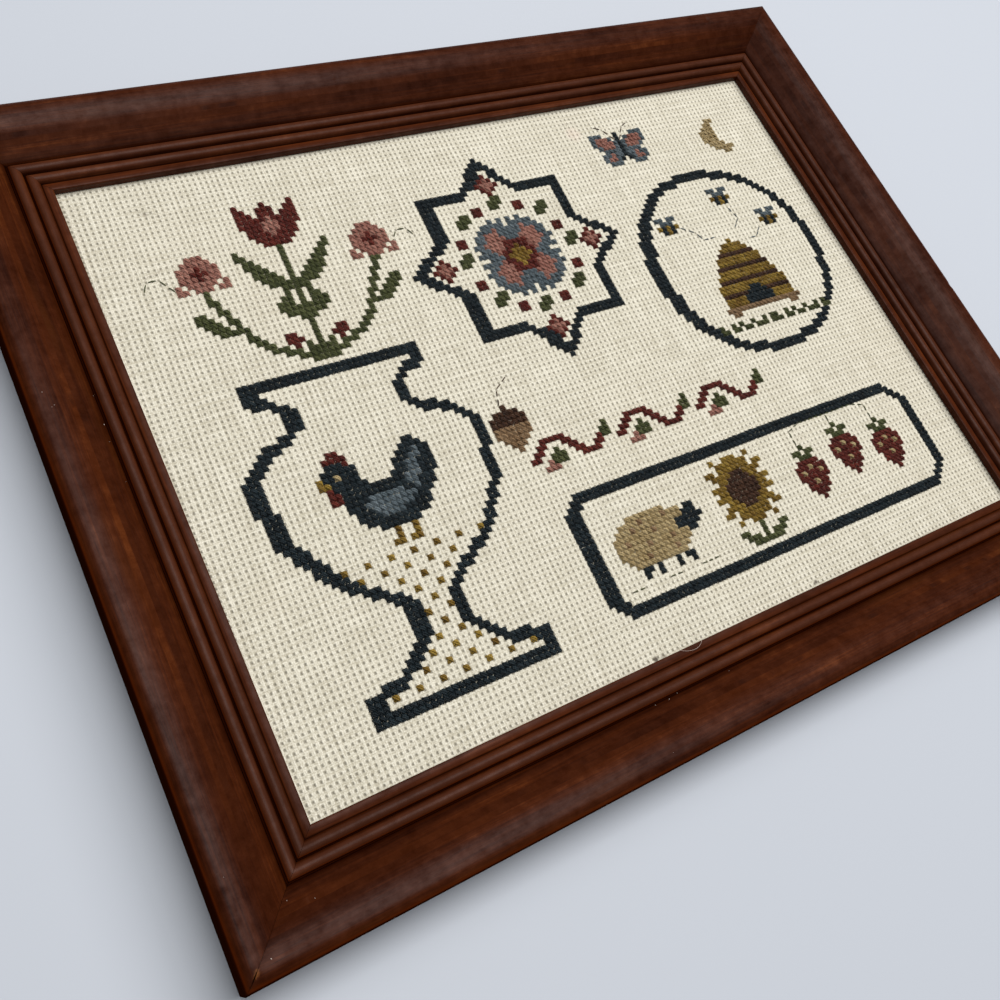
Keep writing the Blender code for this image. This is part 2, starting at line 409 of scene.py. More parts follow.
def stained_wood():
    """Mahogany stain under a worn satin varnish, which has a sheen on the tops and little down the side. Its
    colour also holds pale dust with painted sheen on the tops, a painted glow on the outer shoulder and
    painted shade down the outer side.
    """
    finish = Finish("stained_wood", 0.55, Specular_IOR_Level=0, Coat_IOR=1.22, Coat_Roughness=0.40)
    chart = finish.chart()
    place = finish.place()
    broad = finish.speckle(finish.stretched(chart, (9, 260, 1)), 1, 4, 0.6)
    streak = finish.speckle(finish.stretched(chart, (26, 1500, 1)), 1, 3, 0.65)
    pores = finish.speckle(finish.stretched(chart, (90, 4200, 1), (3, 9, 0)), 1, 2, 0.5)
    scuff = finish.speckle(finish.stretched(chart, (160, 620, 1), (1, 4, 0)), 1, 5, 0.75)
    cloud = finish.speckle(place, 34, 3, 0.55)
    mottle = finish.speckle(place, 260, 4, 0.7)
    quirk = finish.attribute("quirk")
    side = finish.attribute("side")
    light = ((broad - 0.5) * 1.2 + (streak - 0.5) * 0.8 + (cloud - 0.5) * 0.8 + (mottle - 0.5) * 0.7
             + (scuff - 0.5) * 0.5 + 0.5)
    ramp = {"stops": ((0.0, (0.0125, 0.0021, 0.0005)), (1.0, (0.096, 0.0225, 0.0040)),
                      (0.38, (0.032, 0.0062, 0.0012)), (0.68, (0.050, 0.0102, 0.0018)))}
    body = finish.add("ShaderNodeValToRGB", ramp, {"Fac": light}, "Color")
    amber = finish.speckle(finish.stretched(chart, (22, 130, 1), (7, 1, 0)), 1, 2, 0.5)
    body = finish.mix(amber.rise(0.56, 0.78) * 0.24, body, (0.080, 0.0210, 0.0030))
    dark_line = pores.rise(0.57, 0.70) * 0.62
    body = finish.mix(dark_line, body, (0.016, 0.0032, 0.0012))
    body = finish.mix(scuff.rise(0.66, 0.80) * 0.24, body, (0.130, 0.0560, 0.0330))
    # pale dust and painted sheen, lighter and greyer on faces that look up
    body = finish.mix(finish.attribute("bead") * 0.26, body, (0.090, 0.0320, 0.0170))
    # hollow corners are painted near black
    body = finish.mix(quirk * 0.88, body, (0.006, 0.0011, 0.0005))
    body = finish.mix(finish.attribute("rub") * streak.rise(0.35, 0.65) * 0.35, body, (0.13, 0.024, 0.003))
    # painted glow: a bright orange red band where the outer shoulder turns down
    body = finish.mix(side * (1 - side) * 1.9, body, (0.120, 0.0185, 0.0012))
    # painted shade down the outer side, which faces out and down
    body = finish.mix((side - 0.45).rise(0, 0.5) * 0.85, body, (0.016, 0.0024, 0.0006))
    torn = finish.speckle(place, 1100, 3, 0.6)
    reach = finish.far_from(place, at_mm(WORN_TIP[0])) + finish.far_from(place, at_mm(WORN_TIP[1]))
    worn = 1 - reach / WORN_REACH + (torn - 0.5) * 0.9
    body = finish.mix(worn.rise(0.02, 0.35) * 0.62, body, (0.185, 0.066, 0.018))
    finish.colour(body)
    finish.roughness((cloud - 0.5) * 0.16 + (streak - 0.5) * 0.14 + 0.50)
    patchy = (mottle - 0.5) * 1.4 + (scuff - 0.5) * 1.2 + (cloud - 0.5) * 0.8 + 0.80
    finish.coat(finish.attribute("sheen") * (1 - quirk) * patchy)
    grain = finish.bump(pores, 0.05 * MM, 0.35)
    rough = finish.bump(mottle + scuff, 0.06 * MM, 0.35, grain)
    finish.bump(streak, 0.10 * MM, 0.3, rough)
    return finish


def lint():
    """Pale dust."""
    finish = Finish("pale_dust", 0.9)
    tone = finish.speckle(finish.place(), 2000)
    finish.colour(finish.mix(tone, (0.34, 0.25, 0.21), (0.58, 0.49, 0.43)))
    return finish


def hair():
    """Dark brown hair."""
    finish = Finish("brown_hair", 0.6)
    tone = finish.speckle(finish.place(), 900)
    finish.colour(finish.mix(tone, (0.030, 0.018, 0.012), (0.075, 0.048, 0.034)))
    return finish


def height_on_rail(x, y):
    """Height of the moulding's face over a place, found by looking straight down on it."""
    graph = bpy.context.evaluated_depsgraph_get()
    above = Vector((x, y, cad_box[1][2] + 0.01))
    found = bpy.context.scene.ray_cast(graph, above, Vector((0, 0, -1)))
    return found[1].z


def build_dust(finish):
    """Small flakes of dust that lie on the rails."""
    draw = random.Random(11)
    shape = bmesh.new()
    for x, y in DUST:
        x, y = x * MM, y * MM
        flake = bmesh.ops.create_icosphere(shape, subdivisions=1, radius=draw.uniform(0.07, 0.15) * MM)
        stretch = Vector((draw.uniform(0.7, 1.5), draw.uniform(0.6, 1.0), 0.4))
        bmesh.ops.scale(shape, vec=stretch, verts=flake["verts"])
        bmesh.ops.rotate(shape, cent=(0, 0, 0), matrix=Matrix.Rotation(draw.uniform(0, 3), 3, "Z"),
                         verts=flake["verts"])
        bmesh.ops.translate(shape, vec=(x, y, height_on_rail(x, y) + 0.05 * MM), verts=flake["verts"])
    dust = piece_from(shape, "dust", finish)
    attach(dust, "root")
    return dust


# Stray fibres: points on their way, in millimetres, then the thickness
FIBRES = (
    (((-18.6, -96.7, 9.3), (-16.2, -98.3, 9.9), (-13.4, -98.9, 10.1), (-10.9, -98.3, 10.0),
      (-9.2, -96.8, 9.4), (-8.6, -95.2, 7.3), (-10.2, -94.6, 7.0)), 0.09),
    (((-119.0, 62.0, 7.0), (-117.4, 63.4, 7.2), (-115.1, 63.6, 7.3), (-112.9, 64.9, 7.1)), 0.07),
    (((-98.2, -41.0, 7.0), (-96.9, -42.6, 7.3), (-94.6, -42.9, 7.2), (-93.1, -44.4, 7.0)), 0.06),
    (((44.0, 91.2, 7.0), (46.1, 90.2, 7.3), (48.8, 90.9, 7.2), (50.4, 89.6, 7.0)), 0.06),
    (((118.0, -62.0, 7.0), (119.5, -60.4, 7.3), (121.9, -60.2, 7.2), (122.6, -58.1, 7.0)), 0.06),
    (((-8.5, -87.6, 7.0), (-6.2, -88.6, 7.3), (-3.4, -88.0, 7.2), (-1.2, -89.4, 7.0)), 0.07),
)

# A dark hair that lies on the cloth
HAIRS = (
    (((-113.4, 87.4, 7.0), (-111.2, 85.7, 7.2), (-108.7, 84.7, 7.1), (-106.2, 82.8, 7.0)), 0.055),
)


def build_fibres(name, ways, finish):
    """Loose hairs on the cloth and over the lip."""
    curve = bpy.data.curves.new(name, "CURVE")
    curve.dimensions = "3D"
    curve.bevel_depth = 0.5 * MM
    curve.bevel_resolution = 1
    curve.resolution_u = 6
    for way, thickness in ways:
        spline = curve.splines.new("BEZIER")
        spline.bezier_points.add(len(way) - 1)
        for point, spot in zip(spline.bezier_points, way):
            point.co = Vector(spot) * MM
            point.handle_left_type = point.handle_right_type = "AUTO"
            point.radius = thickness
    tube = bpy.data.objects.new(f"{name}_curve", curve)
    bpy.context.scene.collection.objects.link(tube)
    mesh = bpy.data.meshes.new_from_object(tube.evaluated_get(bpy.context.evaluated_depsgraph_get()))
    bpy.data.objects.remove(tube)
    mesh.shade_smooth()
    fibres = piece_of_mesh(mesh, name, finish)
    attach(fibres, "root")
    return fibres


# ---------------------------------------------------------------- the design

# One letter for each skein
SKEINS = {
    "n": "navy", "r": "red", "c": "coral", "g": "gold", "y": "straw",
    "e": "green", "s": "slate", "b": "brown", "t": "tan",
}

# Small motifs, one letter for each cross and a dot for bare cloth. In a folded chart the last
# column is the middle, and the right half mirrors the left one.
TULIP = """
r....r
rr..rr
rrr.rr
rrrrrc
rrrrcc
.rrrcc
.rrrrc
..rrrr
...rrr
.....e
"""
BOUQUET = """
....e..............e
....e..............e
....ee.............e
.....e...........e.e
.ee..ee.........ee.e
.eee..e........eee.e
..eee.ee.......eeeee
...eee.e........eeee
....eeeee.........ee
........e..........e
........ee.........e
.........ee...rr...e
..........ee..rrr..e
...........eee.r.e.e
.............eee.eee
...............eeeee
.................eee
"""
BELL_FLOWER = """
...cc
..ccc
.cccr
.ccrr
.cccr
c.ccc
cc.cc
....e
"""
LEAF_PAIR = """
e.......e
ee......e
.ee.....e
.eee....e
..eee...e
..eeee..e
...eeee.e
....eeeee
......eee
........e
"""
ROOSTER = """
...rr...............
..rrrr..........nn..
..nnnr.........nnnn.
.nnnnnn.......nnnsnn
gnnynnn......nnnssnn
ggnnnnn......nnssnnn
.rnnnnnn....nnnssnnn
.rrnnnnnnnnnnnsssnnn
.rrnnnnnnnnnnnssnnn.
...nnnnssssssnnsnnn.
...nnnsssssssssnnn..
....nnnsssssssnnn...
....nnnnssssnnnnn...
.....nnnnnnnnnnn....
.......nnnnnnn......
.........g..g.......
.........g..g.......
........gg.gg.......
"""
SKEP = """
.........g
.......ggg
......gggg
.....bbbbb
....gggggg
....gggggg
...bbbbbbb
...ggggggg
..gggggggg
..bbbbbbbb
.ggggggggg
.gggggggnn
.bbbbbbnnn
.gggggnnnn
.gggggnnnn
tttttttttt
.tt.......
"""
BEE = """
ss.ss
.sss.
gngng
.ngn.
"""
SHEEP = """
.....yyyyyyyy......
...yyyytyyyytyyy.nn
..yyytyyyyyyyyyynnn
.yyyyyyyytyyyynnnnnn
.yytyyyyyyyyyynnnnn
.yyyyyytyyyytyyynn.
.yyyyyyyyyyyyyyy...
..yyyytyyyyytyy....
...yyyyyyyyyyy.....
....nn.n...n.nn....
....n..n...n..n....
"""
STRAWBERRY = """
...e
.ee.
..ee
.rrr
rrry
ryrr
rrrr
.rry
.rrr
..rr
...r
"""
BUTTERFLY = """
sss...n
scccs.n
sccccsn
.scccsn
..ssssn
.sscssn
.sccsn.
..sss..
"""
ROSETTE = """
.....s.s.
...sssss.
..ssscsss
.sscccsss
.ssccccss
ssccccrrr
.sscccrrg
sssscrrgg
..sssrggg
"""
LEAF = """
.ee
eee
ee.
"""
BERRY = """
rr
rr
"""
DIAMOND = """
..r
.rc
rcc
.rc
..r
"""
ACORN = """
...b
.bbb
bbbb
bbbb
tttt
tttt
.ttt
..tt
...t
"""
SUNFLOWER = """
..g..gg
...gggg
gg.gggg
.ggggbb
..ggbbb
gggbbbb
.ggbbbb
gggbbbb
..ggbbb
.ggggbb
gg.gggg
...gggg
..g..gg
......e
.ee...e
..eee.e
...eeee
"""
MOON = """
...yy..
..yy...
.yyy...
yyyy...
yyyy...
yyyy...
.yyyy..
..yyyyy
....yy.
"""
VINE = """
...rrrrr........e.
..rr...rr......ee.
.rr..e..rr....ree.
rr..eee..rr..rr...
...ceee...rrrr....
..ccc.............
"""
HILL = """
e..e.e..e..e.e.
ee.ee.ee.eee.ee
"""

# Where each motif stands: its lowest column and row, then whether it is folded and turned about
MOTIFS = (
    (BOUQUET, 11, 66, "folded"), (LEAF_PAIR, 22, 79, "folded"), (TULIP, 25, 88, "folded"),
    (BELL_FLOWER, 11, 82, "folded"), (BELL_FLOWER, 42, 82, "folded"), (ROOSTER, 20, 32, ""),
    (ROSETTE, 65, 68, "fourfold"), (DIAMOND, 71, 90, "folded"), (DIAMOND, 71, 58, "folded"),
    (DIAMOND, 55, 74, "folded"), (DIAMOND, 87, 74, "folded"),
    (SKEP, 110, 52, "folded"), (HILL, 106, 49, ""), (HILL, 120, 49, ""),
    (BEE, 105, 73, ""), (BEE, 121, 77, ""), (BEE, 130, 70, "turned"),
    (SHEEP, 62, 12, ""), (SUNFLOWER, 86, 10, "folded"), (STRAWBERRY, 105, 13, "folded"),
    (STRAWBERRY, 115, 15, "folded"), (STRAWBERRY, 125, 13, "folded"),
    (BUTTERFLY, 101, 91, "folded"), (MOON, 128, 89, ""), (ACORN, 52, 40, "folded"),
    (VINE, 56, 35, ""), (VINE, 74, 35, ""), (VINE, 92, 35, ""),
)


def cells_of(chart, column, row, fold=""):
    """The crosses of a chart as {(column, row): skein}, its lowest left cell at column, row."""
    lines = chart.split()
    width = max(len(line) for line in lines)
    lines = [line.ljust(width, ".") for line in lines]
    if fold in ("folded", "fourfold"):
        lines = [line + line[-2::-1] for line in lines]
    if fold == "fourfold":
        lines = lines + lines[-2::-1]
    if fold == "turned":
        lines = [line[::-1] for line in lines]
    worked = {}
    for up, line in enumerate(reversed(lines)):
        for along, letter in enumerate(line):
            if letter != ".":
                worked[column + along, row + up] = SKEINS[letter]
    return worked


def folded(half, middle):
    """Corners of a closed outline from its left half, mirrored about the middle column."""
    return list(half) + [(2 * middle - x, y) for x, y in reversed(half)]


def star_corners(middle, points, outer, inner):
    """Corners of a pointed star about its middle."""
    corners = []
    for i in range(2 * points):
        turn = math.pi * i / points
        reach = inner if i % 2 else outer
        corners.append((middle[0] + reach * math.cos(turn), middle[1] + reach * math.sin(turn)))
    return corners


# Large shapes drawn in a navy line
URN = folded(((14, 7), (14, 12), (20, 13), (25, 17), (25, 23), (16, 29), (10, 38), (9, 48), (13, 53),
              (19, 55), (19, 59), (14, 61), (14, 65)), 30)
STAR = star_corners((73.5, 76.5), 8, 22.4, 16.6)
MEDALLION = star_corners((119.5, 64.5), 12, 21.9, 21.6)
BANNER = ((57, 11), (60, 7), (135, 7), (139, 11), (139, 26), (135, 30), (60, 30), (57, 26))
LINE_WEIGHT = {"left": 3, "below": 2, "right": 2, "above": 2}
DOTTED_BELOW = 31                      # gold dots fill the urn below this row
WREATH = {"middle": (72.5, 75.5), "radius": 11.5, "count": 16}    # berries and leaves in the star


def inside(corners, x, y):
    """Whether a point lies within a closed outline."""
    within = False
    for (x1, y1), (x2, y2) in zip(corners, [*corners[1:], corners[0]]):
        if (y1 > y) != (y2 > y) and x < x1 + (y - y1) * (x2 - x1) / (y2 - y1):
            within = not within
    return within


def outlined(corners):
    """Cells of a shape and, among them, those of its line, which is heavier at left and below."""
    filled = {(c, r) for c in range(COLUMNS) for r in range(ROWS) if inside(corners, c + 0.5, r + 0.5)}
    line = set()
    for column, row in filled:
        near = [(column - i - 1, row) for i in range(LINE_WEIGHT["left"])]
        near += [(column + i + 1, row) for i in range(LINE_WEIGHT["right"])]
        near += [(column, row - i - 1) for i in range(LINE_WEIGHT["below"])]
        near += [(column, row + i + 1) for i in range(LINE_WEIGHT["above"])]
        if any(cell not in filled for cell in near):
            line.add((column, row))
    return filled, line


def draw_design():
    """Every cross of the design as {(column, row): skein}."""
    worked = {}
    shapes = {}
    for name, corners in (("urn", URN), ("star", STAR), ("medallion", MEDALLION), ("banner", BANNER)):
        filled, line = outlined(corners)
        shapes[name] = filled - line
        worked.update({cell: "navy" for cell in line})
    for column, row in shapes["urn"]:
        if row < DOTTED_BELOW and (column + row) % 4 == 0 and row % 2 == 0:
            worked[column, row] = "gold"
    for i in range(WREATH["count"]):
        turn = math.tau * i / WREATH["count"]
        column = round(WREATH["middle"][0] + WREATH["radius"] * math.cos(turn))
        row = round(WREATH["middle"][1] + WREATH["radius"] * math.sin(turn))
        worked.update(cells_of(BERRY if i % 2 else LEAF, column, row))
    for chart, column, row, fold in MOTIFS:
        worked.update(cells_of(chart, column, row, fold))
    return worked


# ---------------------------------------------------------------- cloth

EDGE_TURN = 1.5 * MM                   # radius of the cloth's turn over the board's edge
THICK = 1.0 * MM
flat_low = cloth_low.xy + Vector((EDGE_TURN, EDGE_TURN))
flat_size = cloth_high.xy - cloth_low.xy - 2 * Vector((EDGE_TURN, EDGE_TURN))
ALL_COLUMNS = round(flat_size.x / PITCH)
ALL_ROWS = round(flat_size.y / PITCH)
BLOCK = Vector((flat_size.x / ALL_COLUMNS, flat_size.y / ALL_ROWS))
HIDDEN = 3                             # blocks under the lip, before the design's first
LEAN = 0.019                           # blocks that the upright threads lean in each row
HOLD = 4.4 * MM                        # the weave is straight at the edges and free this far in
DRIFT = {"broad": 0.22, "fine": 0.07}  # how far the holes wander, in millimetres
DRIFT_SEED = 3                         # unseeded, noise_vector starts from the clock
DIPS = (0, -0.05, -0.17)               # height of a block's middle, side and corner, in millimetres
PULLED_DIP = -0.30                     # height of a corner that the stitches pull at
# The turn over the edge, down, under and back inside: how far out from the flat, and height
EDGE_PROFILE = tuple(
    [(EDGE_TURN * math.sin(turn), cloth_high.z - EDGE_TURN * (1 - math.cos(turn)))
     for turn in (0.5, 1.0, math.pi / 2)]
    + [(EDGE_TURN * math.cos(turn), cloth_low.z + EDGE_TURN * (1 - math.sin(turn)))
       for turn in (0.0, 0.55, 1.05, math.pi / 2)]
)
MARGIN_EDGE = -16.5 * MM
INNER_PROFILE = ((MARGIN_EDGE, cloth_low.z), (MARGIN_EDGE, cloth_low.z + THICK),
                 (EDGE_TURN - THICK, cloth_low.z + THICK), (EDGE_TURN - THICK, cloth_high.z - THICK))


def weave_point(column, row):
    """Where a hole of the weave lies, counted in blocks of the cloth from its flat's low corner."""
    x = column * BLOCK.x
    y = row * BLOCK.y
    to_edge = min(x, y, flat_size.x - x, flat_size.y - y)
    free = smooth_step(0, HOLD, to_edge)
    x += LEAN * (row - ALL_ROWS / 2) * BLOCK.x * free
    drift = noise.noise_vector(Vector((column * 0.045, row * 0.045, 1.7)))
    fine = noise.noise_vector(Vector((column * 0.4, row * 0.4, 5.1)))
    x += (DRIFT["broad"] * drift.x + DRIFT["fine"] * fine.x) * MM * free
    y += (DRIFT["broad"] * drift.y + DRIFT["fine"] * fine.y) * MM * free
    return Vector((flat_low.x + x, flat_low.y + y, cloth_high.z))


def build_cloth(finish, worked):
    """Block weave cloth, taut over its board: two faces to a block each way, and dips at its corners."""
    shape = bmesh.new()
    bmesh.ops.create_grid(shape, x_segments=2 * ALL_COLUMNS, y_segments=2 * ALL_ROWS, size=1)
    column_of = shape.verts.layers.float.new("column")
    row_of = shape.verts.layers.float.new("row")
    travel = shape.verts.layers.float.new("travel")
    pulled = shape.verts.layers.float.new("pulled")
    drawn = {(c + i + HIDDEN, r + j + HIDDEN) for c, r in worked for i in (0, 1) for j in (0, 1)}
    for vert in shape.verts:
        column = round((vert.co.x + 1) * ALL_COLUMNS) / 2
        row = round((vert.co.y + 1) * ALL_ROWS) / 2
        vert[column_of] = column
        vert[row_of] = row
        vert.co = weave_point(column, row)
        whole = (column % 1 == 0) + (row % 1 == 0)
        lift = DIPS[whole]
        if whole == 2 and (column, row) in drawn:
            vert[pulled] = 1
            lift = PULLED_DIP
        lift += 0.03 * noise.noise(Vector((column * 1.9, row * 1.9, 3)))
        if min(column, row, ALL_COLUMNS - column, ALL_ROWS - row) > 0.6:
            vert.co.z += lift * MM
    rim = [edge for edge in shape.edges if edge.is_boundary]
    half = flat_size / 2
    middle = flat_low + half
    way = 0
    last = (0, cloth_high.z)
    for out, height in EDGE_PROFILE + INNER_PROFILE:
        way += math.hypot(out - last[0], height - last[1])
        last = (out, height)
        grown = bmesh.ops.extrude_edge_only(shape, edges=rim)["geom"]
        for vert in [item for item in grown if isinstance(item, bmesh.types.BMVert)]:
            x = vert[column_of] / ALL_COLUMNS * 2 - 1
            y = vert[row_of] / ALL_ROWS * 2 - 1
            vert.co = (middle.x + x * (half.x + out), middle.y + y * (half.y + out), height)
            vert[travel] = way / PITCH
        rim = [item for item in grown if isinstance(item, bmesh.types.BMEdge) and item.is_boundary]
        if out == MARGIN_EDGE and height == cloth_low.z:
            cut_size = flat_size + 2 * Vector((way, way))
    bmesh.ops.contextual_create(shape, geom=rim)
    bmesh.ops.recalc_face_normals(shape, faces=shape.faces)
    chart = shape.loops.layers.uv.new("map")
    for face in shape.faces:
        for loop in face.loops:
            column, row, on = loop.vert[column_of], loop.vert[row_of], loop.vert[travel]
            sideways = (column == ALL_COLUMNS) - (column == 0)
            upright = (row == ALL_ROWS) - (row == 0)
            loop[chart].uv = (column + sideways * on, row + upright * on)
    cloth = piece_from(shape, "evenweave_cloth", finish)
    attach(cloth, "root")
    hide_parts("cloth")
    return cloth, tuple(cut_size)


# Specks and faint stains on the cloth: place and radius in millimetres, share, colour
STAINS = (
    ((-24.6, -96.6, 6.6), 0.90, 0.90, (0.045, 0.028, 0.018)),
    ((-21.9, -96.9, 6.6), 1.10, 0.45, (0.110, 0.080, 0.055)),
    ((40.7, -96.0, 6.6), 0.75, 0.85, (0.055, 0.034, 0.022)),
    ((-110.8, 84.9, 6.6), 0.90, 0.40, (0.200, 0.160, 0.120)),
    ((47.5, 86.0, 6.6), 3.2, 0.22, (0.620, 0.420, 0.360)),
    ((-121.0, -40.0, 6.6), 5.5, 0.10, (0.500, 0.420, 0.300)),
    ((103.0, -83.0, 6.6), 6.5, 0.10, (0.500, 0.420, 0.300)),
)


def evenweave():
    """Cream cotton in blocks: upright threads between the holes of a row, level ones from row to row. The
    upright threads carry a painted highlight, and the gaps between threads and the holes carry painted shade.
    """
    finish = Finish("evenweave", 0.85, Specular_IOR_Level=0.2, Sheen_Weight=0.15, Sheen_Roughness=0.6)
    chart = finish.chart()
    u = finish.part(chart, "X")
    v = finish.part(chart, "Y")
    place = finish.place()
    to_u = ((u + 0.5).fraction() - 0.5).size()
    to_v = ((v + 0.5).fraction() - 0.5).size()
    swell_u = (u * math.pi).sine().size()
    swell_v = (v * math.pi).sine().size()
    pair_u = (u * (2 * math.pi)).sine().size()
    pair_v = (v * (2 * math.pi)).sine().size()
    bend = finish.speckle(chart, 1.7, 2)
    upright = (swell_u - swell_v + (bend - 0.5) * 0.5).rise(-0.10, 0.25)
    stroke = (swell_u ** 0.9) * (1 - swell_v * 0.7) * (pair_u * 0.55 + 0.45)
    pad = (swell_v ** 0.6) * (swell_u * 0.40 + 0.60) * (pair_v * 0.38 + 0.62)
    ragged = finish.speckle(chart, 2.3, 2)
    drawn = finish.attribute("pulled")
    reach = ((to_u * to_u + to_v * to_v) ** 0.5) - (ragged - 0.5) * 0.30 - drawn * 0.07
    hole = reach.rise(0.37, 0.06)
    height = upright * (stroke * 0.55 + 0.45) + (1 - upright) * (pad * 0.7) - hole * 0.55
    slub = finish.speckle(finish.stretched(chart, (0.12, 2.7, 1)), 1, 2)
    slub_up = finish.speckle(finish.stretched(chart, (2.7, 0.12, 1), (5, 2, 0)), 1, 2)
    fuzz = finish.speckle(chart, 4.2, 3)
    # the upright threads are lighter: a painted highlight
    tone = (slub + slub_up - 1) * 1.5 + (fuzz - 0.5) * 2.9 + 0.38 + upright * 0.40
    body = finish.mix(tone, (0.47, 0.428, 0.325), (0.82, 0.775, 0.650))
    # painted shade in the gaps between threads
    gap = (1 - stroke) * upright + (1 - pad) * (1 - upright)
    body = finish.mix(gap * 0.62, body, (0.385, 0.340, 0.245))
    # painted shade in the holes, where the cloth only dips
    body = finish.mix(hole * (0.35 + fuzz * 0.55), body, (0.165, 0.142, 0.098))
    cloud = finish.speckle(place, 11, 3)
    body = finish.mix(cloud.rise(0.52, 0.75) * 0.10, body, (0.50, 0.42, 0.30))
    for spot, radius, share, stain in STAINS:
        away = finish.far_from(place, at_mm(spot)) / (radius * MM)
        body = finish.mix((1.3 - away + (fuzz - 0.5) * 1.2).rise(0.0, 0.9) * share, body, stain)
    finish.colour(body)
    finish.bump(height + (slub + slub_up) * 0.5, 0.30 * MM, 0.9)
    return finish


def card():
    """Grey backing board."""
    finish = Finish("card", 0.9)
    place = finish.place()
    fibre = finish.speckle(finish.stretched(place, (500, 2400, 900)), 1, 3)
    finish.colour(finish.mix(fibre, (0.30, 0.28, 0.25), (0.44, 0.42, 0.38)))
    finish.bump(fibre, 0.05 * MM, 0.3)
    return finish


# ---------------------------------------------------------------- stitches

SINK = -0.62                           # depth of a strand's ends in their holes, in millimetres
ARCH = 0.42                            # power that makes a strand rise steeply and run flat
END_GIRTH = 0.86                       # width of a strand in its hole, against its middle
END_SPREAD = 0.45                      # how far apart two strands lie there, against their middle
FLATNESS = 0.78                        # height of a strand's section against its width
# The lower and the upper leg of a cross, in millimetres: which way it runs, its height, how far
# its strands lie from its line, how far their ends slip, how much wider they are, and their spans
LEGS = (
    {"down": 1, "crest": 0.10, "side": 0.40, "slip": 0.078, "wider": 0.20, "spans": 3},
    {"down": -1, "crest": 0.46, "side": 0.24, "slip": 0.13, "wider": 0, "spans": 4},
)
LEG_REACH = 1.07                       # length of a leg against its block's diagonal
CROSS_KINDS = 8
LINE_KINDS = 4
LINE_STITCH = 1.5                      # length of a stitch of a fine line, in blocks
PIECE_CROSSES = 1000                   # a skein with more crosses than this is split


def add_strand(shape, start, end, crest, side, width, spans):
    """One strand of cotton from hole to hole, in millimetres: it rises, crosses and dives."""
    chart = shape.loops.layers.uv["map"]
    done = len(shape.verts)
    cone = bmesh.ops.create_cone(shape, cap_ends=True, segments=5, radius1=0.5, radius2=0.5, depth=1)
    long_edges = {edge for vert in cone["verts"] for edge in vert.link_edges
                  if abs(edge.verts[0].co.z - edge.verts[1].co.z) > 0.5}
    bmesh.ops.subdivide_edges(shape, edges=list(long_edges), cuts=spans - 1)
    verts = list(shape.verts)[done:]
    run = Vector(end) - Vector(start)
    across = Vector((-run.y, run.x)).normalized()
    for face in {face for vert in verts for face in vert.link_faces}:
        for loop in face.loops:
            loop[chart].uv = ((loop.vert.co.z + 0.5) * run.length, loop.vert.co.x)
    for vert in verts:
        share = vert.co.z + 0.5
        arch = max(math.sin(math.pi * share), 0) ** ARCH
        girth = width * (END_GIRTH + (1 - END_GIRTH) * arch)
        spread = side * (END_SPREAD + (1 - END_SPREAD) * arch)
        spot = Vector(start) + run * share + across * (spread + vert.co.x * girth)
        vert.co = Vector((spot.x, spot.y, SINK + (crest - SINK) * arch + vert.co.y * girth * FLATNESS)) * MM


def stitch_kinds(name, build, count, seed):
    """A few versions of a stitch, each a little different."""
    draw = random.Random(seed)
    kinds = []
    for i in range(count):
        shape = bmesh.new()
        shape.loops.layers.uv.new("map")
        build(shape, draw)
        mesh = bpy.data.meshes.new(f"{name}_{i}")
        shape.to_mesh(mesh)
        shape.free()
        kinds.append(mesh)
    return kinds


def cross_stitch(shape, draw):
    """A full cross: two strands up to the right, then two over them down to the right."""
    half_x, half_y = BLOCK / 2 / MM * LEG_REACH
    for leg in LEGS:
        rise = half_y * leg["down"]
        for side in (-leg["side"], leg["side"]):
            slip = [draw.uniform(-leg["slip"], leg["slip"]) for _ in range(4)]
            start = (-half_x + slip[0], -rise + slip[1])
            end = (half_x + slip[2], rise + slip[3])
            lie = side + draw.uniform(-0.07, 0.07)
            crest = leg["crest"] + draw.uniform(-0.10, 0.12)
            width = draw.uniform(0.50, 0.62) + leg["wider"]
            add_strand(shape, start, end, crest, lie, width, leg["spans"])


def back_stitch(shape, draw):
    """A single strand laid along one block, from the middle of one hole to the next."""
    half = BLOCK.x / 2 / MM
    add_strand(shape, (-half, draw.uniform(-0.04, 0.04)), (half, draw.uniform(-0.04, 0.04)),
               0.20, draw.uniform(-0.05, 0.05), 0.36, 4)


def work_stitches(name, finish, kinds, placings):
    """Joins copies of a stitch, each with its place, turn, stretch, kind and tone, as one piece."""
    shape = bmesh.new()
    tone_of = shape.verts.layers.float.new("tone")
    done = 0
    for place, turn, stretch, kind, tone in placings:
        shape.from_mesh(kinds[kind])
        shape.verts.ensure_lookup_table()
        fresh = shape.verts[done:]
        done = len(shape.verts)
        lay = Matrix.Translation(place) @ Matrix.Rotation(turn, 4, "Z") @ Matrix.Diagonal((*stretch, 1))
        bmesh.ops.transform(shape, matrix=lay, verts=fresh)
        for vert in fresh:
            vert[tone_of] = tone
    piece = piece_from(shape, name, finish)
    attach(piece, "root")
    return piece


